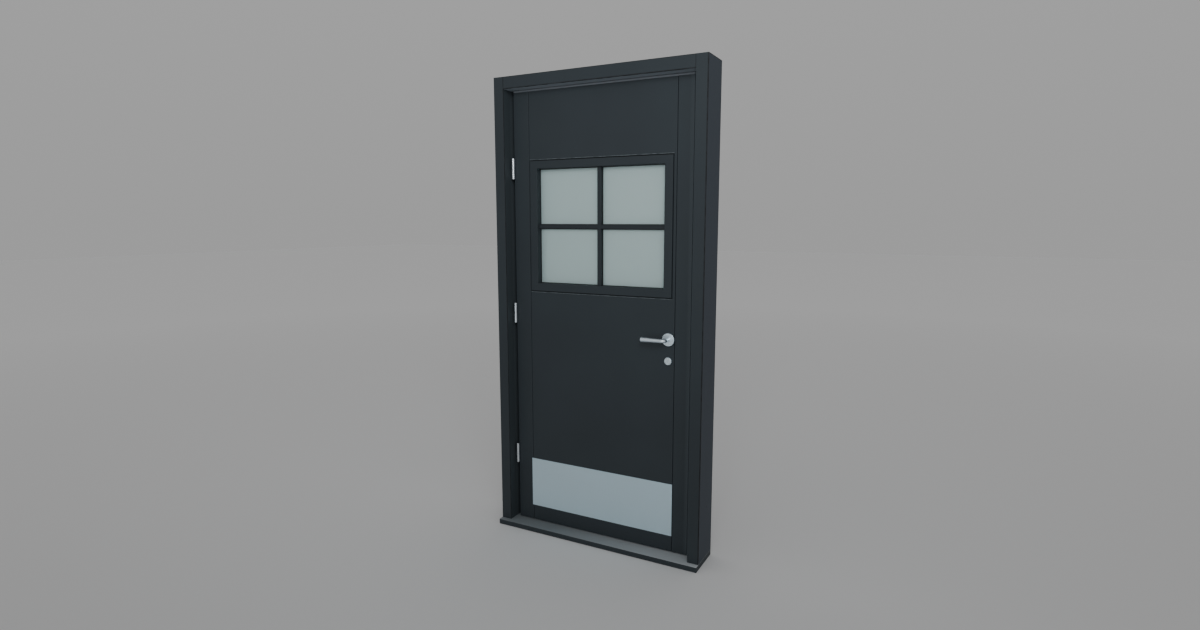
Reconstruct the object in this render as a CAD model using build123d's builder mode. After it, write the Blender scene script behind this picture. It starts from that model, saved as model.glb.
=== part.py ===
from build123d import *
import os

os.makedirs("parts", exist_ok=True)

# A single steel door set that opens outwards, with a glazed light and a kick plate.
# +X is to the right seen from outside, +Y points into the building and +Z is up.
# The origin lies on the sill's underside, at mid width and mid depth of the frame.
# All lengths are in millimetres.

# Frame
frame_width = 1010.0
frame_height = 2100.0
frame_depth = 160.0
jamb_face = 51.0
head_face = 54.0
stop_width = 22.0
sill_height = 24.0
sill_nose = 25.0
sill_upstand = 20.0
nose_round = 2.0
drip_width = 4.0
drip_depth = 3.0
drip_inset = 8.0
arris_round = 1.0
fixing_radius = 4.25
fixing_head_radius = 8.5
fixing_end_distance = 250.0
fixing_step = 530.0

# Seals in the stops
seal_width = 8.0
seal_stand = 3.5
seal_inset = 9.0
seal_kerf = 3.0
seal_kerf_depth = 6.0
seal_clearance = 0.2

# Leaf: a narrower front part over a wider back part, so that its edge is rebated
leaf_recess = 50.0
leaf_thickness = 60.0
leaf_front_depth = 28.0
leaf_side_gap = 20.0
leaf_head_gap = 11.0
rebate_hinge_gap = 5.0
rebate_lock_gap = 8.0
rebate_head_gap = 5.0
sill_gap = 5.0
stop_gap = 5.0
heel_chamfer = 3.0
hinge_stile_face = 81.0
lock_stile_face = 71.0
seam_width = 2.0
skin_depth = 6.0
stile_round = 1.5
skin_round = 0.7
rail_height = 50.0

# Glazed light
light_hinge_margin = 42.0
light_lock_margin = 52.0
light_height = 516.0
light_centre_height = 1438.0
glazing_face = 36.5
glazing_proud = 4.0
glazing_bevel = 1.5
glazing_gap = 2.5
glazing_seat = 0.3
bar_width = 18.0
bar_depth = 18.0
bar_bevel = 1.5
glass_edge_cover = 15.0
glass_thickness = 4.0
glass_recess = 27.0
spacer_depth = 6.0
spacer_width = 10.0

# Kick plate
kick_hinge_margin = 76.0
kick_lock_margin = 72.0
kick_height = 235.0
kick_thickness = 1.5
kick_bottom = 100.0

# Hinges, lifted off upwards
lower_hinge_height = 305.0
upper_hinge_drop = 448.0
middle_hinge_rise = 10.5
barrel_radius = 7.5
barrel_length = 46.0
barrel_round = 1.5
barrel_face_gap = 1.0
barrel_edge_offset = 1.0
hinge_pin_radius = 4.0
hinge_pin_length = 38.0
hinge_pin_play = 0.06
hinge_washer_radius = 6.5
hinge_washer = 1.0
hinge_lift_gap = 0.3
hinge_plate = 3.0
hinge_crank = 18.5
hinge_crank_radius = 3.0
hinge_frame_wing = 34.0
hinge_leaf_wing = 33.0

# Lever handles, roses and lock cylinder
lever_backset = 97.0
spindle_height = 969.0
cylinder_drop = 92.0
rose_radius = 27.5
rose_thickness = 10.0
rose_round = 2.0
cylinder_rose_radius = 16.5
cylinder_rose_thickness = 9.0
cylinder_radius = 12.0
cylinder_seat = 0.3
cylinder_sink = 0.5
key_slot_width = 2.2
key_slot_height = 9.0
key_slot_depth = 6.0
neck_radius = 8.0
neck_play = 0.1
neck_entry = 2.0
lever_stand = 50.0
lever_length = 106.0
lever_elbow = 14.0
lever_grip_start = 30.0
lever_tip_radius = 10.2
lever_ring_from_tip = 14.0
lever_ring_width = 1.6
lever_ring_depth = 0.8
lever_tip_round = 1.0
spindle_size = 8.0
spindle_play = 0.2
spindle_reach = 26.0
spindle_hole_radius = 11.0

# Lock faceplate, bolts and strike
faceplate_width = 24.0
faceplate_height = 240.0
faceplate_thickness = 3.0
bolt_length = 22.0
bolt_play = 0.3
latch_size = (11.0, 18.0)
dead_bolt_size = (12.0, 30.0)
strike_height = 200.0
strike_thickness = 2.0
strike_margin = 3.0

# Places that follow from the sizes
half_width = frame_width / 2
front_y = -frame_depth / 2
back_y = frame_depth / 2
jamb_inner = half_width - jamb_face
stop_inner = jamb_inner - stop_width
head_underside = frame_height - head_face
head_stop_underside = head_underside - stop_width
leaf_face_y = front_y + leaf_recess
leaf_back_y = leaf_face_y + leaf_thickness
leaf_mid_y = (leaf_face_y + leaf_back_y) / 2
leaf_step_y = leaf_face_y + leaf_front_depth
stop_y = leaf_back_y + stop_gap
seal_x = stop_inner + seal_inset
leaf_left = -jamb_inner + leaf_side_gap
leaf_right = jamb_inner - leaf_side_gap
rebate_left = -jamb_inner + rebate_hinge_gap
rebate_right = jamb_inner - rebate_lock_gap
leaf_bottom = sill_height + sill_gap
leaf_front_top = head_underside - leaf_head_gap
leaf_back_top = head_underside - rebate_head_gap
hinge_seam = leaf_left + hinge_stile_face
lock_seam = leaf_right - lock_stile_face
light_left = hinge_seam + light_hinge_margin
light_right = lock_seam - light_lock_margin
light_width = light_right - light_left
light_middle = (light_left + light_right) / 2
kick_left = leaf_left + kick_hinge_margin
kick_right = leaf_right - kick_lock_margin
spindle_x = leaf_right - lever_backset
core_front_y = leaf_face_y + skin_depth
core_back_y = leaf_back_y - skin_depth
glazing_width = light_width + 2 * glazing_face
glazing_height = light_height + 2 * glazing_face
glass_width = light_width + 2 * glass_edge_cover
glass_height = light_height + 2 * glass_edge_cover
glass_face_y = leaf_face_y + glass_recess
spacer_y = glass_face_y + glass_thickness
inner_glass_y = spacer_y + spacer_depth
glass_back_y = inner_glass_y + glass_thickness
upper_hinge_height = frame_height - upper_hinge_drop
middle_hinge_height = (lower_hinge_height + upper_hinge_height) / 2 + middle_hinge_rise
hinge_heights = {"lower": lower_hinge_height, "middle": middle_hinge_height, "upper": upper_hinge_height}
hinge_x = leaf_left - barrel_edge_offset
hinge_y = leaf_face_y - barrel_radius - barrel_face_gap
rebate_mid_y = (leaf_step_y + leaf_back_y) / 2
cylinder_height = spindle_height - cylinder_drop
lock_middle_height = (spindle_height + cylinder_height) / 2
leaf_middle = Plane.XZ.offset(-leaf_mid_y)


def upright(y):
    """The vertical plane at depth y, with X to the right and Z up; it faces outside."""
    return Plane.XZ.offset(-y)


def save(piece, label):
    """Name a finished piece and write it to its own file."""
    piece.part.label = label
    export_step(piece.part, f"parts/{label}.step")


# Sill: a flat threshold with a nose in front, a drip groove and an upstand at the back
with BuildPart() as sill:
    with BuildSketch(Plane.YZ.offset(-half_width)):
        with BuildLine():
            Polyline(
                (front_y - sill_nose, 0),
                (back_y, 0),
                (back_y, sill_height),
                (front_y - sill_nose, sill_height),
                close=True,
            )
        make_face()
        with Locations((front_y - sill_nose + drip_inset + drip_width / 2, drip_depth / 2)):
            Rectangle(drip_width, drip_depth, mode=Mode.SUBTRACT)
    extrude(amount=frame_width)
    fillet(sill.edges().filter_by(Axis.X).group_by(Axis.Y)[0], nose_round)
    with BuildSketch(Plane.YZ.offset(-stop_inner)):
        with BuildLine():
            Polyline(
                (stop_y, sill_height),
                (back_y, sill_height),
                (back_y, sill_height + sill_upstand),
                (stop_y, sill_height + sill_upstand),
                close=True,
            )
        make_face()
        with Locations((stop_y + seal_kerf_depth / 2, leaf_bottom + seal_inset)):
            Rectangle(seal_kerf_depth, seal_kerf, mode=Mode.SUBTRACT)
    extrude(amount=2 * stop_inner)
save(sill, "sill")


def draw_jamb_section(side):
    """Section of a jamb in plan: the face and reveal, then the stop with its seal kerf."""
    with BuildSketch(Plane.XY.offset(sill_height)) as section:
        with BuildLine():
            Polyline(
                (side * half_width, front_y),
                (side * jamb_inner, front_y),
                (side * jamb_inner, stop_y),
                (side * stop_inner, stop_y),
                (side * stop_inner, back_y),
                (side * half_width, back_y),
                close=True,
            )
        make_face()
        with Locations((side * seal_x, stop_y + seal_kerf_depth / 2)):
            Rectangle(seal_kerf, seal_kerf_depth, mode=Mode.SUBTRACT)
    return section.sketch


def drill_fixings(side):
    """Countersunk fixing holes through a jamb, in the rebate that the leaf covers."""
    lowest = fixing_end_distance
    highest = frame_height - fixing_end_distance
    for height in (lowest, lowest + fixing_step, highest - fixing_step, highest):
        reveal = Plane(origin=(side * jamb_inner, rebate_mid_y, height), x_dir=(0, 1, 0), z_dir=(-side, 0, 0))
        with Locations(reveal):
            CounterSinkHole(fixing_radius, fixing_head_radius, depth=jamb_face)


# Hinge jamb
with BuildPart() as hinge_jamb:
    extrude(draw_jamb_section(-1), amount=frame_height - sill_height)
    fillet(hinge_jamb.edges().filter_by(Axis.Z).group_by(Axis.Y)[0], arris_round)
    drill_fixings(-1)
save(hinge_jamb, "hinge_jamb")


# Lock jamb: the same section, with a bed for the strike and pockets for the bolts
with BuildPart() as lock_jamb:
    extrude(draw_jamb_section(1), amount=frame_height - sill_height)
    fillet(lock_jamb.edges().filter_by(Axis.Z).group_by(Axis.Y)[0], arris_round)
    drill_fixings(1)
    with BuildSketch(Plane.YZ.offset(jamb_inner)):
        with Locations((rebate_mid_y, lock_middle_height)):
            Rectangle(faceplate_width, strike_height)
    extrude(amount=strike_thickness, mode=Mode.SUBTRACT)
    with BuildSketch(Plane.YZ.offset(jamb_inner)):
        with Locations((rebate_mid_y, spindle_height)):
            Rectangle(latch_size[0] + 2 * strike_margin, latch_size[1] + 2 * strike_margin)
        with Locations((rebate_mid_y, cylinder_height)):
            Rectangle(dead_bolt_size[0] + 2 * strike_margin, dead_bolt_size[1] + 2 * strike_margin)
    extrude(amount=bolt_length, mode=Mode.SUBTRACT)
save(lock_jamb, "lock_jamb")


# Head: butted between the jambs and notched round their stops
with BuildPart() as head:
    with BuildSketch(Plane.YZ.offset(-jamb_inner)):
        with BuildLine():
            Polyline(
                (front_y, head_underside),
                (stop_y, head_underside),
                (stop_y, head_stop_underside),
                (back_y, head_stop_underside),
                (back_y, frame_height),
                (front_y, frame_height),
                close=True,
            )
        make_face()
        with Locations((stop_y + seal_kerf_depth / 2, head_stop_underside + seal_inset)):
            Rectangle(seal_kerf_depth, seal_kerf, mode=Mode.SUBTRACT)
    extrude(amount=2 * jamb_inner)
    fillet(head.edges().filter_by(Axis.X).group_by(Axis.Y)[0], arris_round)
    with BuildSketch(Plane.XY.offset(head_stop_underside)):
        with Locations(*[(side * (stop_inner + stop_width / 2), (stop_y + back_y) / 2) for side in (-1, 1)]):
            Rectangle(stop_width, back_y - stop_y)
    extrude(amount=head_face + stop_width, mode=Mode.SUBTRACT)
save(head, "head")


def draw_seal_section(plane):
    """Section of a seal: a round-nosed bulb on the stop with a tongue in the kerf."""
    tongue_depth = seal_kerf_depth - seal_clearance
    with BuildSketch(plane) as section:
        with Locations((0, -seal_stand / 2)):
            Rectangle(seal_width, seal_stand)
        fillet(section.vertices().group_by(Axis.Y)[0], seal_stand - 1)
        with Locations((0, tongue_depth / 2)):
            Rectangle(seal_kerf - 2 * seal_clearance, tongue_depth)
    return section.sketch


# Seals: one strip in each stop, and one in the sill's upstand
for name, side in (("hinge_jamb_seal", -1), ("lock_jamb_seal", 1)):
    with BuildPart() as jamb_seal:
        seal_foot = Plane(origin=(side * seal_x, stop_y, sill_height), x_dir=(1, 0, 0), z_dir=(0, 0, 1))
        extrude(draw_seal_section(seal_foot), amount=head_underside - sill_height)
    save(jamb_seal, name)

for name, height in (
    ("head_seal", head_stop_underside + seal_inset),
    ("sill_seal", leaf_bottom + seal_inset),
):
    with BuildPart() as cross_seal:
        seal_end = Plane(origin=(-stop_inner, stop_y, height), x_dir=(0, 0, -1), z_dir=(1, 0, 0))
        extrude(draw_seal_section(seal_end), amount=2 * stop_inner)
    save(cross_seal, name)


# Strike plate in the lock jamb
with BuildPart() as strike_plate:
    with BuildSketch(Plane.YZ.offset(jamb_inner)):
        with Locations((rebate_mid_y, lock_middle_height)):
            RectangleRounded(faceplate_width - 2 * bolt_play, strike_height - 2 * bolt_play, 2)
        with Locations((rebate_mid_y, spindle_height)):
            Rectangle(latch_size[0] + 2 * strike_margin, latch_size[1] + 2 * strike_margin, mode=Mode.SUBTRACT)
        with Locations((rebate_mid_y, cylinder_height)):
            Rectangle(
                dead_bolt_size[0] + 2 * strike_margin,
                dead_bolt_size[1] + 2 * strike_margin,
                mode=Mode.SUBTRACT,
            )
    extrude(amount=strike_thickness)
save(strike_plate, "strike_plate")


def draw_stile_section(inward, edge, rebate_edge, seam):
    """Section of a stile in plan: rebated outside, with a seam lip and round folds on both faces."""
    lip = seam - inward * seam_width / 2
    with BuildSketch(Plane.XY.offset(leaf_bottom)) as section:
        with BuildLine():
            Polyline(
                (edge, leaf_face_y),
                (lip, leaf_face_y),
                (lip, core_front_y),
                (seam, core_front_y),
                (seam, core_back_y),
                (lip, core_back_y),
                (lip, leaf_back_y),
                (rebate_edge + inward * heel_chamfer, leaf_back_y),
                (rebate_edge, leaf_back_y - heel_chamfer),
                (rebate_edge, leaf_step_y),
                (edge, leaf_step_y),
                close=True,
            )
        make_face()
        fillet(section.vertices().group_by(Axis.Y)[0], stile_round)
        fillet(section.vertices().group_by(Axis.Y)[-1], stile_round)
    return section.sketch


def notch_top(left, right):
    """Lower the front part of the leaf's top edge, as its sides are rebated."""
    front_depth = leaf_step_y - leaf_face_y
    with BuildSketch(Plane.XY.offset(leaf_front_top)) as notch:
        with Locations(((left + right) / 2, leaf_face_y + front_depth / 2)):
            Rectangle(right - left, front_depth)
    extrude(notch.sketch, amount=leaf_back_top - leaf_front_top, mode=Mode.SUBTRACT)


# Hinge stile
with BuildPart() as hinge_stile:
    section = draw_stile_section(1, leaf_left, rebate_left, hinge_seam)
    extrude(section, amount=leaf_back_top - leaf_bottom)
    notch_top(rebate_left, hinge_seam)
save(hinge_stile, "hinge_stile")


# Lock stile, with a bed for the faceplate and pockets for the bolts
with BuildPart() as lock_stile:
    section = draw_stile_section(-1, leaf_right, rebate_right, lock_seam)
    extrude(section, amount=leaf_back_top - leaf_bottom)
    notch_top(lock_seam, rebate_right)
    with BuildSketch(Plane.YZ.offset(rebate_right)):
        with Locations((rebate_mid_y, lock_middle_height)):
            Rectangle(faceplate_width, faceplate_height)
    extrude(amount=-faceplate_thickness, mode=Mode.SUBTRACT)
    with BuildSketch(Plane.YZ.offset(rebate_right)):
        with Locations((rebate_mid_y, spindle_height)):
            Rectangle(latch_size[0] + 2 * bolt_play, latch_size[1] + 2 * bolt_play)
        with Locations((rebate_mid_y, cylinder_height)):
            Rectangle(dead_bolt_size[0] + 2 * bolt_play, dead_bolt_size[1] + 2 * bolt_play)
    extrude(amount=-bolt_length, mode=Mode.SUBTRACT)
save(lock_stile, "lock_stile")


# Rails between the stiles, at the leaf's top and bottom edges
for name, rail_bottom in (("bottom_rail", leaf_bottom), ("top_rail", leaf_back_top - rail_height)):
    with BuildPart() as rail:
        with BuildSketch(upright(core_back_y)):
            with Locations(((hinge_seam + lock_seam) / 2, rail_bottom + rail_height / 2)):
                Rectangle(lock_seam - hinge_seam, rail_height)
        extrude(amount=core_back_y - core_front_y)
        if name == "top_rail":
            notch_top(hinge_seam, lock_seam)
    save(rail, name)


def cut_lock_holes(spindle_radius, cylinder_hole_radius):
    """Rounds for the spindle and the lock cylinder, in the sketch that is open."""
    with Locations((spindle_x, spindle_height)):
        Circle(spindle_radius, mode=Mode.SUBTRACT)
    with Locations((spindle_x, cylinder_height)):
        Circle(cylinder_hole_radius, mode=Mode.SUBTRACT)


# Core between the rails, cut out for the light
with BuildPart() as core:
    core_bottom = leaf_bottom + rail_height
    core_top = leaf_back_top - rail_height
    with BuildSketch(upright(core_back_y)):
        with Locations(((hinge_seam + lock_seam) / 2, (core_bottom + core_top) / 2)):
            Rectangle(lock_seam - hinge_seam, core_top - core_bottom)
        with Locations((light_middle, light_centre_height)):
            Rectangle(
                glazing_width + 2 * glazing_seat,
                glazing_height + 2 * glazing_seat,
                mode=Mode.SUBTRACT,
            )
        cut_lock_holes(spindle_hole_radius, cylinder_radius + cylinder_seat)
    extrude(amount=core_back_y - core_front_y)
save(core, "core")


# Skins: the sheets between the seams, on both faces of the leaf. Their sides and the edges of
# the light are folded inwards, so these show a small round.
for name, skin_back_y, skin_top, show_side in (
    ("outer_skin", core_front_y, leaf_front_top, 0),
    ("inner_skin", leaf_back_y, leaf_back_top, -1),
):
    with BuildPart() as skin:
        skin_left = hinge_seam + seam_width / 2
        skin_right = lock_seam - seam_width / 2
        with BuildSketch(upright(skin_back_y)):
            with Locations(((skin_left + skin_right) / 2, (leaf_bottom + skin_top) / 2)):
                Rectangle(skin_right - skin_left, skin_top - leaf_bottom)
            with Locations((light_middle, light_centre_height)):
                Rectangle(
                    glazing_width + 2 * glazing_gap,
                    glazing_height + 2 * glazing_gap,
                    mode=Mode.SUBTRACT,
                )
            cut_lock_holes(spindle_hole_radius, cylinder_radius + cylinder_seat)
        extrude(amount=skin_depth)
        rim_of_light = skin.faces().sort_by(Axis.Y)[show_side].inner_wires().sort_by(SortBy.LENGTH)[-1]
        fillet(rim_of_light.edges(), skin_round)
        outline = skin.faces().sort_by(Axis.Y)[show_side].outer_wire()
        fillet(outline.edges().filter_by(Axis.Z), skin_round)
    save(skin, name)


# Glazing frames: one clamps the glass from each side
for name, frame_back_y, frame_face_y, bevel_side in (
    ("outer_glazing_frame", glass_face_y, leaf_face_y - glazing_proud, 0),
    ("inner_glazing_frame", leaf_back_y + glazing_proud, glass_back_y, -1),
):
    with BuildPart() as glazing_frame:
        with BuildSketch(upright(frame_back_y)):
            with Locations((light_middle, light_centre_height)):
                Rectangle(glazing_width, glazing_height)
                Rectangle(light_width, light_height, mode=Mode.SUBTRACT)
        extrude(amount=frame_back_y - frame_face_y)
        chamfer(glazing_frame.faces().sort_by(Axis.Y)[bevel_side].edges(), glazing_bevel)
    save(glazing_frame, name)


# Glazing bars: a cross in front of the glass and one behind it
for name, bars_back_y, bevel_side in (
    ("outer_glazing_bars", glass_face_y, 0),
    ("inner_glazing_bars", glass_back_y + bar_depth, -1),
):
    with BuildPart() as glazing_bars:
        with BuildSketch(upright(bars_back_y)):
            with Locations((light_middle, light_centre_height)):
                Rectangle(bar_width, light_height)
                Rectangle(light_width, bar_width)
        extrude(amount=bar_depth)
        bar_arrises = glazing_bars.faces().sort_by(Axis.Y)[bevel_side].edges()
        chamfer(bar_arrises.filter_by(lambda edge: edge.length > 2 * bar_width), bar_bevel)
    save(glazing_bars, name)


# Sealed glass unit: two panes held apart by a spacer
for name, pane_back_y in (
    ("outer_glass", glass_face_y + glass_thickness),
    ("inner_glass", inner_glass_y + glass_thickness),
):
    with BuildPart() as pane:
        with BuildSketch(upright(pane_back_y)):
            with Locations((light_middle, light_centre_height)):
                Rectangle(glass_width, glass_height)
        extrude(amount=glass_thickness)
    save(pane, name)

with BuildPart() as glass_spacer:
    with BuildSketch(upright(inner_glass_y)):
        with Locations((light_middle, light_centre_height)):
            Rectangle(glass_width, glass_height)
            Rectangle(glass_width - 2 * spacer_width, glass_height - 2 * spacer_width, mode=Mode.SUBTRACT)
    extrude(amount=spacer_depth)
save(glass_spacer, "glass_spacer")


# Kick plate on the outer face
with BuildPart() as kick_plate:
    with BuildSketch(upright(leaf_face_y)):
        with Locations(((kick_left + kick_right) / 2, kick_bottom + kick_height / 2)):
            Rectangle(kick_right - kick_left, kick_height)
    extrude(amount=kick_thickness)
save(kick_plate, "kick_plate")


# Lock faceplate and the noses of its two bolts, drawn back flush
with BuildPart() as lock_faceplate:
    with BuildSketch(Plane.YZ.offset(rebate_right)):
        with Locations((rebate_mid_y, lock_middle_height)):
            Rectangle(faceplate_width - 2 * bolt_play, faceplate_height - 2 * bolt_play)
        with Locations((rebate_mid_y, spindle_height)):
            Rectangle(latch_size[0] + 2 * bolt_play, latch_size[1] + 2 * bolt_play, mode=Mode.SUBTRACT)
        with Locations((rebate_mid_y, cylinder_height)):
            Rectangle(dead_bolt_size[0] + 2 * bolt_play, dead_bolt_size[1] + 2 * bolt_play, mode=Mode.SUBTRACT)
    extrude(amount=-faceplate_thickness)
save(lock_faceplate, "lock_faceplate")

for name, size, height in (
    ("latch_bolt", latch_size, spindle_height),
    ("dead_bolt", dead_bolt_size, cylinder_height),
):
    with BuildPart() as bolt:
        with BuildSketch(Plane.YZ.offset(rebate_right)):
            with Locations((rebate_mid_y, height)):
                Rectangle(*size)
        extrude(amount=-bolt_length)
    save(bolt, name)


# Hinges: each frame half carries the pin, and each leaf half is bored to drop over it
for level, hinge_bottom in hinge_heights.items():
    joint_height = hinge_bottom + barrel_length + hinge_washer
    with BuildPart() as hinge_frame_half:
        with BuildSketch(Plane.XY.offset(hinge_bottom)):
            with Locations((hinge_x, hinge_y)):
                Circle(barrel_radius)
        extrude(amount=barrel_length)
        fillet(hinge_frame_half.edges().group_by(Axis.Z)[0], barrel_round)
        with BuildSketch(Plane.XY.offset(hinge_bottom + barrel_round)):
            with BuildLine():
                arm_x = hinge_x - barrel_radius + hinge_plate / 2
                wing_x = -jamb_inner + hinge_plate / 2
                FilletPolyline(
                    (arm_x, hinge_y),
                    (arm_x, hinge_y + hinge_crank),
                    (wing_x, hinge_y + hinge_crank),
                    (wing_x, hinge_y + hinge_frame_wing),
                    radius=hinge_crank_radius,
                )
            trace(line_width=hinge_plate)
        extrude(amount=barrel_length - 2 * barrel_round)
        with BuildSketch(Plane.XY.offset(hinge_bottom + barrel_length)):
            with Locations((hinge_x, hinge_y)):
                Circle(hinge_washer_radius)
        extrude(amount=hinge_washer)
        with BuildSketch(Plane.XY.offset(joint_height)):
            with Locations((hinge_x, hinge_y)):
                Circle(hinge_pin_radius)
        extrude(amount=hinge_pin_length)
        chamfer(hinge_frame_half.edges().group_by(Axis.Z)[-1], 1)
    save(hinge_frame_half, f"{level}_hinge_frame_half")

    with BuildPart() as hinge_leaf_half:
        with BuildSketch(Plane.XY.offset(joint_height + hinge_lift_gap)):
            with Locations((hinge_x, hinge_y)):
                Circle(barrel_radius)
        extrude(amount=barrel_length)
        fillet(hinge_leaf_half.edges().group_by(Axis.Z)[-1], barrel_round)
        with BuildSketch(Plane.XY.offset(joint_height + hinge_lift_gap + barrel_round)):
            with BuildLine():
                wing_x = leaf_left - hinge_plate / 2
                Line((wing_x, hinge_y), (wing_x, hinge_y + hinge_leaf_wing))
            trace(line_width=hinge_plate)
        extrude(amount=barrel_length - 2 * barrel_round)
        with BuildSketch(Plane.XY.offset(joint_height + hinge_lift_gap)):
            with Locations((hinge_x, hinge_y)):
                Circle(hinge_pin_radius + hinge_pin_play)
        extrude(amount=hinge_pin_length + 1, mode=Mode.SUBTRACT)
    save(hinge_leaf_half, f"{level}_hinge_leaf_half")


# Roses: a turned disc round each lever's neck
with BuildPart() as outer_rose:
    with BuildSketch(upright(leaf_face_y)):
        with Locations((spindle_x, spindle_height)):
            Circle(rose_radius)
            Circle(neck_radius + neck_play, mode=Mode.SUBTRACT)
    extrude(amount=rose_thickness)
    fillet(outer_rose.faces().sort_by(Axis.Y)[0].outer_wire().edges(), rose_round)
save(outer_rose, "outer_rose")

with BuildPart() as inner_rose:
    mirror(outer_rose.part, about=leaf_middle)
save(inner_rose, "inner_rose")


# Roses round the lock cylinder
with BuildPart() as outer_cylinder_rose:
    with BuildSketch(upright(leaf_face_y)):
        with Locations((spindle_x, cylinder_height)):
            Circle(cylinder_rose_radius)
            Circle(cylinder_radius + cylinder_seat, mode=Mode.SUBTRACT)
    extrude(amount=cylinder_rose_thickness)
    fillet(outer_cylinder_rose.faces().sort_by(Axis.Y)[0].outer_wire().edges(), rose_round)
save(outer_cylinder_rose, "outer_cylinder_rose")

with BuildPart() as inner_cylinder_rose:
    mirror(outer_cylinder_rose.part, about=leaf_middle)
save(inner_cylinder_rose, "inner_cylinder_rose")


# Lock cylinder through the leaf, with a key slot in each end
with BuildPart() as lock_cylinder:
    cylinder_end = leaf_thickness / 2 + cylinder_rose_thickness - cylinder_sink
    with BuildSketch(upright(leaf_mid_y + cylinder_end)):
        with Locations((spindle_x, cylinder_height)):
            Circle(cylinder_radius)
    extrude(amount=2 * cylinder_end)
    for end_y, into in ((leaf_mid_y - cylinder_end, -key_slot_depth), (leaf_mid_y + cylinder_end, key_slot_depth)):
        with BuildSketch(upright(end_y)):
            with Locations((spindle_x, cylinder_height)):
                Rectangle(key_slot_width, key_slot_height)
        extrude(amount=into, mode=Mode.SUBTRACT)
save(lock_cylinder, "lock_cylinder")


# Levers: a round bar bent off the neck, then a grip that widens to its tip
with BuildPart() as outer_lever:
    lever_y = leaf_face_y - lever_stand
    neck_end_y = leaf_face_y + neck_entry
    grip_x = spindle_x - lever_grip_start
    tip_x = spindle_x - lever_length
    with BuildLine(Plane.XY.offset(spindle_height)) as lever_path:
        FilletPolyline(
            (spindle_x, neck_end_y),
            (spindle_x, lever_y),
            (grip_x, lever_y),
            radius=lever_elbow,
        )
    with BuildSketch(Plane(origin=lever_path.line @ 0, z_dir=lever_path.line % 0)):
        Circle(neck_radius)
    sweep(path=lever_path.line)
    ring_x = tip_x + lever_ring_from_tip
    grip_slope = (lever_tip_radius - neck_radius) / (grip_x - tip_x)
    ring_radius = neck_radius + grip_slope * (grip_x - ring_x)
    with BuildSketch(Plane.XY.offset(spindle_height)) as grip_half:
        with BuildLine():
            Polyline(
                (grip_x, lever_y),
                (grip_x, lever_y - neck_radius),
                (ring_x + lever_ring_width / 2, lever_y - ring_radius),
                (ring_x + lever_ring_width / 2, lever_y - ring_radius + lever_ring_depth),
                (ring_x - lever_ring_width / 2, lever_y - ring_radius + lever_ring_depth),
                (ring_x - lever_ring_width / 2, lever_y - ring_radius),
                (tip_x, lever_y - lever_tip_radius),
                (tip_x, lever_y),
                close=True,
            )
        make_face()
        chamfer(grip_half.vertices().group_by(Axis.X)[0].sort_by(Axis.Y)[0], lever_tip_round)
    revolve(axis=Axis((0, lever_y, spindle_height), (1, 0, 0)))
    with BuildSketch(upright(neck_end_y)):
        with Locations((spindle_x, spindle_height)):
            Rectangle(spindle_size + spindle_play, spindle_size + spindle_play)
    extrude(amount=spindle_reach, mode=Mode.SUBTRACT)
save(outer_lever, "outer_lever")

with BuildPart() as inner_lever:
    mirror(outer_lever.part, about=leaf_middle)
save(inner_lever, "inner_lever")


# Square spindle that joins the two levers through the lock
with BuildPart() as spindle:
    spindle_half = leaf_thickness / 2 - neck_entry + spindle_reach
    with BuildSketch(upright(leaf_mid_y + spindle_half)):
        with Locations((spindle_x, spindle_height)):
            Rectangle(spindle_size, spindle_size)
    extrude(amount=2 * spindle_half)
save(spindle, "spindle")
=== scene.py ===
import math

import bmesh
import bpy
from mathutils import Matrix, Vector


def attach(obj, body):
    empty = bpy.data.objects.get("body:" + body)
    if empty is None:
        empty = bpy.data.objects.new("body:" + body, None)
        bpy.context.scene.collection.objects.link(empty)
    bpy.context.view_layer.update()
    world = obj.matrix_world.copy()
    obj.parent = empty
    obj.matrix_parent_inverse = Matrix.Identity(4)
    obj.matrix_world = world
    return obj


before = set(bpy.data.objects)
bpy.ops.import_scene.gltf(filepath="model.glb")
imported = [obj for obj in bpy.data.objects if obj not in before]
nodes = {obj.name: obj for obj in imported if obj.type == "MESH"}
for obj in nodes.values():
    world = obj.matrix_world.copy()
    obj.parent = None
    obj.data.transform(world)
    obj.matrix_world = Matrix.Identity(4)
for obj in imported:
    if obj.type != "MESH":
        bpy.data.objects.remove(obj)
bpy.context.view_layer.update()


# Sill: a threshold of pressed steel with a rounded nose, painted like the frame. Its top is painted
# paler than the upright faces, painted light from above, and paler still towards its right end, a
# painted sheen.
def new_finish(name, color, metallic, roughness):
    """A material with its shader, ready for detail, and its Object coordinates."""
    material = bpy.data.materials.new(name)
    material.use_nodes = True
    tree = material.node_tree
    shader = tree.nodes["Principled BSDF"]
    shader.inputs["Base Color"].default_value = (*color, 1.0)
    shader.inputs["Metallic"].default_value = metallic
    shader.inputs["Roughness"].default_value = roughness
    place = tree.nodes.new("ShaderNodeTexCoord").outputs["Object"]
    return material, tree, shader, place


def grain(tree, place, size, stretch=(1.0, 1.0, 1.0), detail=2.0):
    """Noise whose grains measure size in metres, drawn out along an axis where stretch is small."""
    mapping = tree.nodes.new("ShaderNodeMapping")
    mapping.inputs["Scale"].default_value = stretch
    tree.links.new(place, mapping.inputs["Vector"])
    noise = tree.nodes.new("ShaderNodeTexNoise")
    noise.inputs["Scale"].default_value = 1.0 / size
    noise.inputs["Detail"].default_value = detail
    tree.links.new(mapping.outputs["Vector"], noise.inputs["Vector"])
    return noise.outputs["Fac"]


def spread(tree, value, low, high, start=0.3, end=0.7):
    """Turns a value between start and end into one between low and high."""
    span = tree.nodes.new("ShaderNodeMapRange")
    span.inputs["From Min"].default_value = start
    span.inputs["From Max"].default_value = end
    span.inputs["To Min"].default_value = low
    span.inputs["To Max"].default_value = high
    tree.links.new(value, span.inputs["Value"])
    return span.outputs["Result"]


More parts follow.
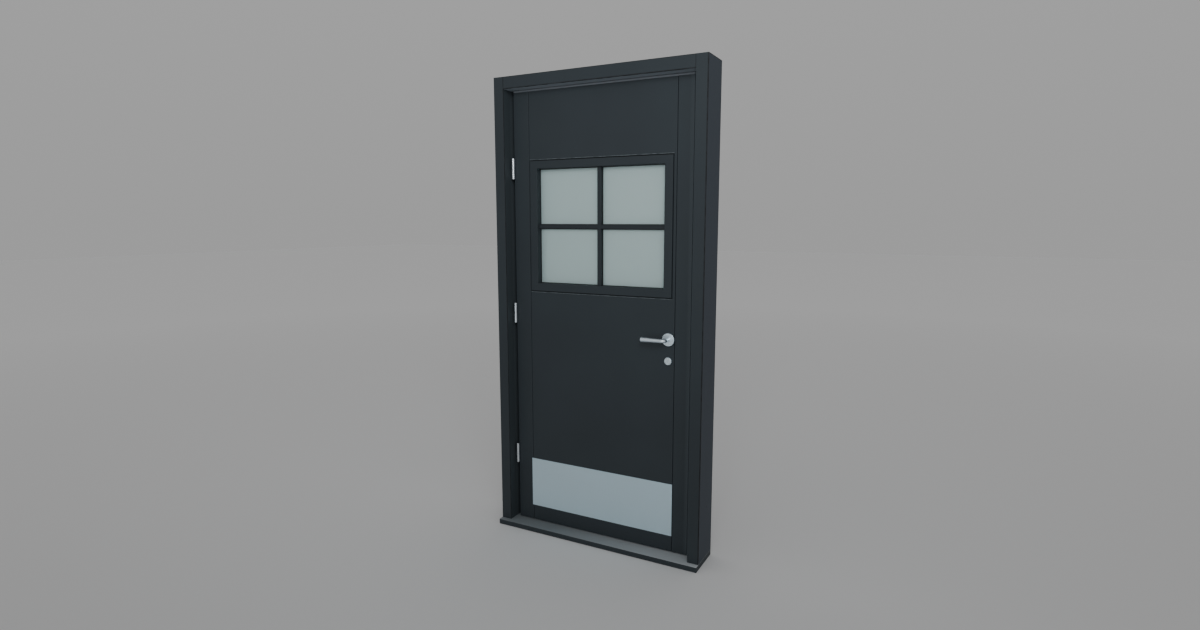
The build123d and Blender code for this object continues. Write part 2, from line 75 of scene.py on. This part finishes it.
def blend_colors(tree, factor, first, second):
    """Colour between two colours, by a factor from 0 to 1. Each may be a colour or an output."""
    mix = tree.nodes.new("ShaderNodeMix")
    mix.data_type = "RGBA"
    tree.links.new(factor, mix.inputs["Factor"])
    for socket, color in ((mix.inputs[6], first), (mix.inputs[7], second)):
        if isinstance(color, tuple):
            socket.default_value = (*color, 1.0)
        else:
            tree.links.new(color, socket)
    return mix.outputs[2]


def press_in(tree, shader, height, strength, depth):
    """Bump from a height between 0 and 1, depth metres deep."""
    bump = tree.nodes.new("ShaderNodeBump")
    bump.inputs["Strength"].default_value = strength
    bump.inputs["Distance"].default_value = depth
    tree.links.new(height, bump.inputs["Height"])
    tree.links.new(bump.outputs["Normal"], shader.inputs["Normal"])


def near_line(tree, place, along, point, width):
    """1 on a straight line through a point along X, Y or Z, falling to 0 at width metres away."""
    across = [0.0 if axis == along else 1.0 for axis in "XYZ"]
    flat = tree.nodes.new("ShaderNodeVectorMath")
    flat.operation = "MULTIPLY"
    flat.inputs[1].default_value = across
    tree.links.new(place, flat.inputs[0])
    apart = tree.nodes.new("ShaderNodeVectorMath")
    apart.operation = "DISTANCE"
    apart.inputs[1].default_value = [a * p for a, p in zip(across, point)]
    tree.links.new(flat.outputs["Vector"], apart.inputs[0])
    return spread(tree, apart.outputs["Value"], 1.0, 0.0, width * 0.35, width)


def both(tree, first, second):
    """The share of a place that is inside both of two zones."""
    join = tree.nodes.new("ShaderNodeMath")
    join.operation = "MULTIPLY"
    tree.links.new(first, join.inputs[0])
    tree.links.new(second, join.inputs[1])
    return join.outputs["Value"]


def near_level(tree, place, axis, level, full, none):
    """1 up to full metres either side of a level of X, Y or Z, falling to 0 at none metres."""
    parts = tree.nodes.new("ShaderNodeSeparateXYZ")
    tree.links.new(place, parts.inputs["Vector"])
    apart = tree.nodes.new("ShaderNodeMath")
    apart.operation = "SUBTRACT"
    apart.inputs[1].default_value = level
    tree.links.new(parts.outputs[axis], apart.inputs[0])
    size = tree.nodes.new("ShaderNodeMath")
    size.operation = "ABSOLUTE"
    tree.links.new(apart.outputs["Value"], size.inputs[0])
    return spread(tree, size.outputs["Value"], 1.0, 0.0, full, none)


def powder_coat(name, color, arrises=(), zones=()):
    """Matt powder coat: fine orange peel, faint clouding, zones of painted light and thin dark
    lines of painted shade along arrises.

    An arris is (axis, point, width) and gets a line of painted shade. One that is given a painted
    highlight instead adds its colour and how far it reaches either side of the middle. A zone is a
    colour of painted light or shade, then limits for near_level."""
    cloud_size = 0.35
    blotch_size = 0.03
    peel_size = 0.0016
    highlight_end = 0.002
    material, tree, shader, place = new_finish(name, color, 0.0, 0.6)
    shader.inputs["Specular IOR Level"].default_value = 0.35
    cloud = spread(tree, grain(tree, place, cloud_size), 0.0, 1.0)
    darker = tuple(0.93 * c for c in color)
    lighter = tuple(1.07 * c for c in color)
    coat = blend_colors(tree, cloud, darker, lighter)
    # Zones paint light or shade over the coat.
    for zone_color, *limits in zones:
        inside = near_level(tree, place, *limits[0])
        for limit in limits[1:]:
            inside = both(tree, inside, near_level(tree, place, *limit))
        coat = blend_colors(tree, inside, coat, zone_color)
    blotches = grain(tree, place, blotch_size)
    # Arrises paint thin lines of shade, or of highlight where a highlight colour is given.
    for along, point, width, *highlighted in arrises:
        uneven = spread(tree, blotches, 0.25 if highlighted else 0.7, 1.0, 0.4, 0.6)
        line = both(tree, near_line(tree, place, along, point, width), uneven)
        line_color = tuple(0.04 * c for c in color)
        if highlighted:
            line_color, reach = highlighted
            middle = near_level(tree, place, along, 0.0, reach, reach + highlight_end)
            line = both(tree, line, middle)
        coat = blend_colors(tree, line, coat, line_color)
    tree.links.new(coat, shader.inputs["Base Color"])
    peel = grain(tree, place, peel_size)
    tree.links.new(spread(tree, peel, 0.56, 0.64), shader.inputs["Roughness"])
    press_in(tree, shader, peel, 0.25, 0.00008)
    return material


def give(material, *names):
    """Puts a material on CAD nodes."""
    for name in names:
        mesh = nodes[name].data
        mesh.materials.clear()
        mesh.materials.append(material)


anthracite = (0.028, 0.036, 0.042)
# Painted light: the sill's top is paler, and paler still towards the right end, a painted sheen.
painted_top_light = (0.19, 0.213, 0.224)
painted_sheen = (0.45, 0.48, 0.50)
sheen_end = 0.52
sheen_reach = 0.75
sill_top = 0.024
at_face = (0.0005, 0.001)
give(powder_coat("sill_coat", anthracite, zones=[
    (painted_top_light, ("Z", sill_top, *at_face)),
    (painted_sheen, ("Z", sill_top, *at_face), ("X", sheen_end, 0.0, sheen_reach)),
]), "sill")


# Jambs and head: folded steel profiles with a stop, butted at the top corners and powder coated
# in anthracite grey. Thin dark lines of painted shade run along the arrises, and the reveals, the
# head's underside and the lock jamb's outer side are painted paler or bluer, painted light.
outer_arris = 0.505
inner_arris = 0.454
front = -0.080
back = 0.080
underside = 2.046
top = 2.100
# Painted light: paler paints lift the hinge reveal and its deep part, the gap by the lock jamb and
# the head's underside out of their shade, and a bluer one gives the lock jamb's outer side its
# light.
painted_reveal_light = (0.042, 0.052, 0.058)
painted_deep_reveal_light = (0.060, 0.072, 0.080)
painted_side_light = (0.030, 0.041, 0.056)
painted_gap_light = (0.10, 0.125, 0.14)
painted_underside_light = (0.275, 0.315, 0.355)
# Each arris below carries a thin dark line of painted shade.
give(powder_coat("hinge_jamb_coat", anthracite, arrises=[
    ("Z", (-inner_arris, front, 0.0), 0.0026),
], zones=[
    (painted_reveal_light, ("X", -inner_arris, *at_face)),
    (painted_deep_reveal_light, ("X", -inner_arris, *at_face), ("Y", 0.0, 0.020, 0.036)),
]), "hinge_jamb")
give(powder_coat("lock_jamb_coat", anthracite, arrises=[
    ("Z", (outer_arris, front, 0.0), 0.0054),
    ("Z", (outer_arris, back, 0.0), 0.0040),
    ("Y", (outer_arris, 0.0, top), 0.0040),
], zones=[
    (painted_side_light, ("X", outer_arris, *at_face)),
    (painted_gap_light, ("X", inner_arris, *at_face)),
]), "lock_jamb")
give(powder_coat("head_coat", anthracite, arrises=[
    ("X", (0.0, front, underside), 0.0052),
    ("X", (0.0, front, top), 0.0030),
    ("Z", (-inner_arris, front, 0.0), 0.0020),
    ("Z", (inner_arris, front, 0.0), 0.0030),
], zones=[
    (painted_underside_light, ("Z", underside, *at_face)),
]), "head")


# Fixing plugs: thin moulded caps in the frame's colour, pressed flush into the outer ends of the
# fixing holes in both jambs.
def set_piece(name, shape, material, body):
    """Makes a finished shape one smooth piece that rides on a body and has the given finish."""
    bmesh.ops.recalc_face_normals(shape, faces=shape.faces[:])
    mesh = bpy.data.meshes.new(name)
    shape.to_mesh(mesh)
    shape.free()
    mesh.materials.append(material)
    mesh.shade_smooth()
    mesh.set_sharp_from_angle(angle=math.radians(40))
    piece = bpy.data.objects.new(name, mesh)
    bpy.context.scene.collection.objects.link(piece)
    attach(piece, body)


def turned_to(place, facing):
    """The matrix that stands a shape on a place, with its Z along the way it faces."""
    turn = Vector((0.0, 0.0, 1.0)).rotation_difference(Vector(facing))
    return Matrix.Translation(place) @ turn.to_matrix().to_4x4()


fixing_heights = (0.250, 0.780, 1.320, 1.850)
fixing_depth = 0.014
fixing_radius = 0.0042
plug_thickness = 0.002
plug_sink = 0.0001
plug_round = 0.0004
for side, body_side in ((-1, "hinge"), (1, "lock")):
    plugs = bmesh.new()
    for plug_height in fixing_heights:
        middle = (side * (outer_arris - plug_thickness / 2 - plug_sink), fixing_depth, plug_height)
        cap = bmesh.ops.create_cone(
            plugs, cap_ends=True, segments=32, radius1=fixing_radius, radius2=fixing_radius,
            depth=plug_thickness, matrix=turned_to(middle, (side, 0.0, 0.0)),
        )
        shown = [edge for vertex in cap["verts"] for edge in vertex.link_edges
                 if all(side * end.co.x > outer_arris - 2 * plug_sink for end in edge.verts)]
        bmesh.ops.bevel(plugs, geom=list(dict.fromkeys(shown)), offset=plug_round, segments=2,
                        profile=0.5, affect="EDGES", material=-1)
    plug_coat = powder_coat(f"{body_side}_plug_coat", anthracite)
    set_piece(f"{body_side}_jamb_plugs", plugs, plug_coat, "frame")


# Seals: soft black rubber bulbs pushed into a kerf in each stop, and one in the sill's upstand.
# The rubber has bloomed a little, so it is uneven and dull.
seal_rubber, rubber_tree, rubber_shader, rubber_place = new_finish(
    "seal_rubber", (0.012, 0.012, 0.013), 0.0, 0.7)
bloom = grain(rubber_tree, rubber_place, 0.004, detail=4.0)
rubber_tree.links.new(
    blend_colors(rubber_tree, bloom, (0.009, 0.009, 0.010), (0.022, 0.022, 0.022)),
    rubber_shader.inputs["Base Color"],
)
rubber_tree.links.new(spread(rubber_tree, bloom, 0.6, 0.8), rubber_shader.inputs["Roughness"])
press_in(rubber_tree, rubber_shader, bloom, 0.2, 0.0001)
give(seal_rubber, "hinge_jamb_seal", "lock_jamb_seal", "head_seal", "sill_seal")


# Hinges: three lift-off hinges of steel, satin finished. The half on the frame carries the pin,
# and the half on the leaf is bored and drops over it.
def brushed_metal(name, color, roughness, stroke, along, fine=0.0004, wear=0.06):
    """Metal rubbed one way: strokes of that length along an axis, in roughness, tone and relief."""
    material, tree, shader, place = new_finish(name, color, 1.0, roughness)
    stretch = [1.0, 1.0, 1.0]
    stretch["XYZ".index(along)] = fine / stroke
    strokes = grain(tree, place, fine, stretch, 3.0)
    clouds = grain(tree, place, 0.05)
    darker = tuple((1 - wear) * c for c in color)
    lighter = tuple(min(1.0, (1 + wear) * c) for c in color)
    tone = blend_colors(tree, strokes, darker, lighter)
    tree.links.new(tone, shader.inputs["Base Color"])
    rough = tree.nodes.new("ShaderNodeMath")
    rough.operation = "ADD"
    tree.links.new(spread(tree, strokes, roughness - 0.05, roughness + 0.05), rough.inputs[0])
    tree.links.new(spread(tree, clouds, -0.02, 0.02), rough.inputs[1])
    tree.links.new(rough.outputs["Value"], shader.inputs["Roughness"])
    press_in(tree, shader, strokes, 0.15, 0.00003)
    return material


hinge_steel = brushed_metal("hinge_steel", (0.80, 0.84, 0.88), 0.30, 0.02, "Z")
screw_steel = brushed_metal("screw_steel", (0.70, 0.72, 0.74), 0.32, 0.002, "Z")


def socket_screws(name, places, facing, radius, body):
    """Screws with low heads at these places, each with a bevelled rim and a hexagon socket."""
    height = 0.0012
    depth = 0.0009
    stand = 0.0003
    rim_round = 0.0002
    screws = bmesh.new()
    for place in places:
        seat = turned_to(place, facing)
        head = bmesh.ops.create_cone(
            screws, cap_ends=True, segments=24, radius1=radius, radius2=radius, depth=height,
            matrix=seat @ Matrix.Translation((0.0, 0.0, stand - height / 2)),
        )
        crown = max((face for vertex in head["verts"] for face in vertex.link_faces),
                    key=lambda face: face.calc_center_median().dot(Vector(facing)))
        rim = list(crown.edges)
        bmesh.ops.delete(screws, geom=[crown], context="FACES_ONLY")
        hexagon = bmesh.ops.create_circle(
            screws, cap_ends=False, segments=6, radius=0.5 * radius,
            matrix=seat @ Matrix.Translation((0.0, 0.0, stand)),
        )
        mouth = [edge for vertex in hexagon["verts"] for edge in vertex.link_edges]
        mouth = list(dict.fromkeys(mouth))
        bmesh.ops.bridge_loops(screws, edges=rim + mouth)
        bmesh.ops.bevel(screws, geom=rim, offset=rim_round, segments=2, profile=0.5,
                        affect="EDGES", material=-1)
        sunk = bmesh.ops.extrude_edge_only(screws, edges=mouth)["geom"]
        floor_edges = [part for part in sunk if isinstance(part, bmesh.types.BMEdge)]
        floor_corners = [part for part in sunk if isinstance(part, bmesh.types.BMVert)]
        bmesh.ops.translate(screws, vec=-depth * Vector(facing), verts=floor_corners)
        bmesh.ops.edgeloop_fill(screws, edges=[edge for edge in floor_edges if edge.is_boundary])
    set_piece(name, screws, screw_steel, body)


hinge_bottoms = {"lower": 0.305, "middle": 0.989, "upper": 1.652}
leaf_half_rise = 0.0473
screw_rises = (0.011, 0.035)
hinge_screw_radius = 0.0034
frame_wing = (-0.451, -0.0105)
leaf_wing = (-0.437, -0.0125)
for level, bottom in hinge_bottoms.items():
    give(hinge_steel, f"{level}_hinge_frame_half", f"{level}_hinge_leaf_half")
    frame_places = [(*frame_wing, bottom + rise) for rise in screw_rises]
    socket_screws(f"{level}_hinge_frame_screws", frame_places, (1.0, 0.0, 0.0),
                  hinge_screw_radius, "frame")
    leaf_places = [(*leaf_wing, bottom + leaf_half_rise + rise) for rise in screw_rises]
    socket_screws(f"{level}_hinge_leaf_screws", leaf_places, (-1.0, 0.0, 0.0),
                  hinge_screw_radius, "leaf")


# Leaf: a rebated steel leaf in three fields with a stile at each side, closed by rails, over a
# core board. The fields meet in narrow seams, and everything that shows has the frame's paint.
leaf_coat = powder_coat("leaf_coat", anthracite)
give(leaf_coat, "hinge_stile", "top_rail", "bottom_rail", "inner_skin")
leaf_face = -0.030
# Painted highlight: pale lines on the outer skin just above and below the glazed light.
painted_highlight = (0.14, 0.16, 0.17)
highlight_reach = 0.349
highlight_width = 0.0017
give(powder_coat("outer_skin_coat", anthracite, arrises=[
    ("X", (0.0, leaf_face, 1.7368), highlight_width, painted_highlight, highlight_reach),
    ("X", (0.0, leaf_face, 1.1392), highlight_width, painted_highlight, highlight_reach),
]), "outer_skin")
stile_edge = 0.440
stile_seam = 0.362
seam_sides = (-0.020, 0.0090, 0.0096)
gap_sides = (-0.010, 0.0190, 0.0196)
# Painted light: the outer face beside the lock jamb, the seam and the gap by the jamb are painted
# paler to lift them out of their shade.
painted_edge_light = (0.055, 0.068, 0.077)
give(powder_coat("lock_stile_coat", anthracite, zones=[
    (painted_edge_light, ("X", stile_edge, 0.006, 0.026), ("Y", leaf_face, *at_face)),
    (painted_gap_light, ("X", stile_seam, 0.006, 0.008), ("Y", *seam_sides)),
    (painted_gap_light, ("X", stile_edge, 0.008, 0.010), ("Y", *gap_sides)),
]), "lock_stile")


def foam_board():
    """Insulating board in the leaf, with a painted facing where the grooves show it."""
    facing_start = 0.022
    facing_end = 0.0232
    material, tree, shader, place = new_finish("foam_board", (0.62, 0.58, 0.42), 0.0, 0.9)
    cells = grain(tree, place, 0.003, detail=4.0)
    board = blend_colors(tree, cells, (0.50, 0.46, 0.32), (0.68, 0.64, 0.48))
    facing = near_level(tree, place, "Y", 0.0, facing_start, facing_end)
    tree.links.new(blend_colors(tree, facing, anthracite, board), shader.inputs["Base Color"])
    press_in(tree, shader, cells, 0.5, 0.0005)
    return material


give(foam_board(), "core")


# Weather bar: a folded strip on the leaf's top edge that closes the gap under the head. Its long
# upper edges are rounded. Its paint is pale, painted light that lifts it out of the shade of the
# gap, like the head's underside, and a thin dark line of painted shade runs along its lower edge.
bar_bottom = 2.035
bar_rise = 0.0095
bar_thickness = 0.004
bar_length = 0.866
bar_front = leaf_face + 0.001
bar_round = 0.0015
bar_place = (0.0, bar_front + bar_thickness / 2, bar_bottom + bar_rise / 2)
bar_size = (bar_length, bar_thickness, bar_rise, 1.0)
weather_bar = bmesh.new()
bmesh.ops.create_cube(weather_bar, size=1.0,
                      matrix=Matrix.Translation(bar_place) @ Matrix.Diagonal(bar_size))
bar_top = [edge for edge in weather_bar.edges
           if all(end.co.z > bar_place[2] for end in edge.verts)]
bmesh.ops.bevel(weather_bar, geom=bar_top, offset=bar_round, segments=3, profile=0.5,
                affect="EDGES", material=-1)
# Painted light in the pale colour, and painted shade in the dark line along the lower front edge.
bar_coat = powder_coat("weather_bar_coat", (0.185, 0.200, 0.222), arrises=[
    ("X", (0.0, bar_front, bar_bottom), 0.0017),
])
set_piece("weather_bar", weather_bar, bar_coat, "leaf")


# Glazed light: two painted frames that clamp a sealed unit, with a cross of bars on each side of
# it. The outer pane is milky with a faint green tint, the inner one is clear, and an aluminium
# spacer holds them apart.
frame_face = -0.034
# Painted shade: thin dark lines along the frame's top and bottom arrises.
glazing_arris = 0.0032
give(powder_coat("glazing_coat", tuple(0.95 * c for c in anthracite), arrises=[
    ("X", (0.0, frame_face, 1.7325), glazing_arris),
    ("X", (0.0, frame_face, 1.1435), glazing_arris),
]), "outer_glazing_frame", "inner_glazing_frame")
bar_paint = powder_coat("bar_coat", tuple(0.75 * c for c in anthracite))
give(bar_paint, "outer_glazing_bars", "inner_glazing_bars")


def frosted_glass(name, color, roughness, transmission):
    """Glass with a fine frost. The share that it doesn't let through is a milky body colour."""
    material, tree, shader, place = new_finish(name, color, 0.0, roughness)
    shader.inputs["Transmission Weight"].default_value = transmission
    shader.inputs["IOR"].default_value = 1.5
    frost = grain(tree, place, 0.0012, detail=3.0)
    rough = spread(tree, frost, roughness - 0.06, roughness + 0.06)
    tree.links.new(rough, shader.inputs["Roughness"])
    press_in(tree, shader, frost, 0.2, 0.00008)
    return material


give(frosted_glass("frosted_pane", (0.675, 0.822, 0.812), 0.5, 0.5), "outer_glass")
give(frosted_glass("clear_pane", (0.98, 1.0, 1.0), 0.05, 1.0), "inner_glass")
give(brushed_metal("spacer_metal", (0.6, 0.61, 0.62), 0.4, 0.02, "X"), "glass_spacer")


# Glazing beads: black rubber pressed in round each pane on both sides, between the glass and the
# painted frame.
bead_width = 0.003
bead_stand = 0.002
bead_round = 0.0009
pane_width = 0.302
pane_height = 0.249
light_middle = 1.438
pane_shift = (0.160, 0.1335)
pane_middles = [(x, z) for x in (-pane_shift[0], pane_shift[0])
                for z in (light_middle - pane_shift[1], light_middle + pane_shift[1])]
outer_glass_face = -0.003
inner_glass_face = 0.011
for bead_side, glass_y, outward in (("outer", outer_glass_face, -1.0),
                                    ("inner", inner_glass_face, 1.0)):
    beads = bmesh.new()
    for x, z in pane_middles:
        upright = Matrix.Translation((x, glass_y, z)) @ Matrix.Rotation(math.radians(90), 4, "X")
        bmesh.ops.create_grid(beads, x_segments=1, y_segments=1, size=0.5,
                              matrix=upright @ Matrix.Diagonal((pane_width, pane_height, 1.0, 1.0)))
    panes = beads.faces[:]
    bmesh.ops.inset_individual(beads, faces=panes, thickness=bead_width, use_even_offset=True)
    bmesh.ops.delete(beads, geom=panes, context="FACES")
    raised = bmesh.ops.extrude_face_region(beads, geom=beads.faces[:], use_keep_orig=True)["geom"]
    corners = [part for part in raised if isinstance(part, bmesh.types.BMVert)]
    bmesh.ops.translate(beads, vec=(0.0, outward * bead_stand, 0.0), verts=corners)
    lifted = set(corners)
    bmesh.ops.bevel(beads, geom=[edge for edge in beads.edges if lifted.issuperset(edge.verts)],
                    offset=bead_round, segments=3, profile=0.5, affect="EDGES", material=-1)
    set_piece(f"{bead_side}_glazing_beads", beads, seal_rubber, "leaf")


# Kick plate: a brushed stainless sheet fixed to the lower part of the outer face, with long
# level strokes.
kick_steel = brushed_metal("kick_steel", (0.72, 0.90, 1.0), 0.42, 0.08, "X", wear=0.03)
give(kick_steel, "kick_plate")


# Lock: a steel faceplate on the leaf's edge with a latch and a dead bolt, and a strike plate in
# the jamb.
plated_steel = brushed_metal("plated_steel", (0.62, 0.63, 0.64), 0.35, 0.02, "Z")
give(plated_steel, "lock_faceplate", "strike_plate", "latch_bolt", "dead_bolt")
lock_middle = 0.923
lock_depth = 0.014
lock_screw_radius = 0.0042
faceplate_front = 0.446
faceplate_screw_rise = 0.108
strike_screw_rise = 0.090
faceplate_places = [(faceplate_front, lock_depth, lock_middle + rise)
                    for rise in (-faceplate_screw_rise, faceplate_screw_rise)]
socket_screws("faceplate_screws", faceplate_places, (1.0, 0.0, 0.0),
              lock_screw_radius, "leaf")
strike_places = [(inner_arris, lock_depth, lock_middle + rise)
                 for rise in (-strike_screw_rise, strike_screw_rise)]
socket_screws("strike_screws", strike_places, (-1.0, 0.0, 0.0),
              lock_screw_radius, "frame")


# Lever handles: round stainless levers on turned roses, joined through the leaf by a square
# spindle, with a lock cylinder in a smaller rose below.
satin_steel = brushed_metal("satin_steel", (0.82, 0.91, 0.99), 0.42, 0.01, "X", wear=0.03)
give(satin_steel, "outer_lever", "inner_lever", "spindle")
rose_steel = brushed_metal("rose_steel", (0.81, 0.91, 0.98), 0.40, 0.008, "X", wear=0.03)
give(rose_steel, "outer_rose", "inner_rose", "outer_cylinder_rose", "inner_cylinder_rose")
cylinder_nickel = brushed_metal("cylinder_nickel", (0.85, 0.94, 1.0), 0.32, 0.006, "Z", wear=0.03)
give(cylinder_nickel, "lock_cylinder")
neck_middle = 0.337
neck_reach = 0.052
neck_underside = 0.961
grub_screw_radius = 0.0025
for lever_side, neck_y in (("outer", -neck_reach), ("inner", neck_reach)):
    socket_screws(f"{lever_side}_lever_grub_screw", [(neck_middle, neck_y, neck_underside)],
                  (0.0, 0.0, -1.0), grub_screw_radius, "handle")


# Studio: a plain pale floor that meets the backdrop without a line, three soft lamps, and the
# camera of the photo.
floor_reach = 30.0
pale_start = 1.5
pale_end = 9.0
floor_mesh = bmesh.new()
bmesh.ops.create_grid(floor_mesh, x_segments=2, y_segments=2, size=floor_reach)
floor_data = bpy.data.meshes.new("floor")
floor_mesh.to_mesh(floor_data)
floor_mesh.free()
floor = bpy.data.objects.new("floor", floor_data)
bpy.context.scene.collection.objects.link(floor)
floor_paint, floor_tree, floor_shader, floor_place = new_finish(
    "floor_paint", (0.85, 0.85, 0.85), 0.0, 0.9)
from_middle = floor_tree.nodes.new("ShaderNodeVectorMath")
from_middle.operation = "LENGTH"
floor_tree.links.new(floor_place, from_middle.inputs[0])
floor_far = spread(floor_tree, from_middle.outputs["Value"], 0.0, 1.0, pale_start, pale_end)
floor_tree.links.new(
    blend_colors(floor_tree, floor_far, (0.735, 0.735, 0.735), (0.90, 0.90, 0.90)),
    floor_shader.inputs["Base Color"],
)
floor.data.materials.append(floor_paint)

world = bpy.data.worlds.new("studio")
bpy.context.scene.world = world
world.use_nodes = True
sky = world.node_tree
horizon_grey = (0.375, 0.375, 0.375)
upper_grey = (0.426, 0.426, 0.426)
sky_way = sky.nodes.new("ShaderNodeSeparateXYZ")
sky.links.new(sky.nodes.new("ShaderNodeTexCoord").outputs["Generated"], sky_way.inputs["Vector"])
sky_rise = spread(sky, sky_way.outputs["Z"], 0.0, 1.0, 0.0, 0.5)
sky.links.new(blend_colors(sky, sky_rise, horizon_grey, upper_grey),
              sky.nodes["Background"].inputs["Color"])


def add_lamp(name, place, target, size, power, color, cone=140.0):
    """A square soft lamp that faces a point, and lights no wider than its cone in degrees."""
    lamp = bpy.data.lights.new(name, "AREA")
    lamp.size = size
    lamp.energy = power
    lamp.color = color
    lamp.spread = math.radians(cone)
    stand = bpy.data.objects.new(name, lamp)
    stand.location = place
    stand.rotation_mode = "QUATERNION"
    stand.rotation_quaternion = (Vector(target) - Vector(place)).to_track_quat("-Z", "Y")
    bpy.context.scene.collection.objects.link(stand)


add_lamp("front_lamp", (1.7, -3.0, 3.0), (0.0, 0.0, 2.75),
         size=1.8, power=26.5, color=(0.93, 0.97, 1.0), cone=100.0)
add_lamp("side_lamp", (3.2, -2.0, 1.6), (0.0, 0.0, 1.2),
         size=1.6, power=2.0, color=(0.84, 0.92, 1.0))
add_lamp("low_lamp", (0.2, -3.2, 0.6), (0.0, 0.0, 1.5),
         size=1.5, power=2.6, color=(0.78, 0.92, 1.0), cone=100.0)

picture_width = 1200.0
focal_length = 675.52
film_width = 36.0
lens = bpy.data.cameras.new("camera")
lens.sensor_width = film_width
lens.lens = film_width * focal_length / picture_width
lens.clip_start = 0.05
lens.clip_end = 100.0
camera = bpy.data.objects.new("camera", lens)
right = Vector((0.8835, 0.4685, 0.0)).normalized()
forward = Vector((-0.4642, 0.8749, -0.1380)).normalized()
up = right.cross(forward)
turn = Matrix((right, up, -forward)).transposed()
eye = (1.394, -2.640, 1.464)
camera.matrix_world = Matrix.Translation(eye) @ turn.to_4x4()
bpy.context.scene.collection.objects.link(camera)
bpy.context.scene.camera = camera
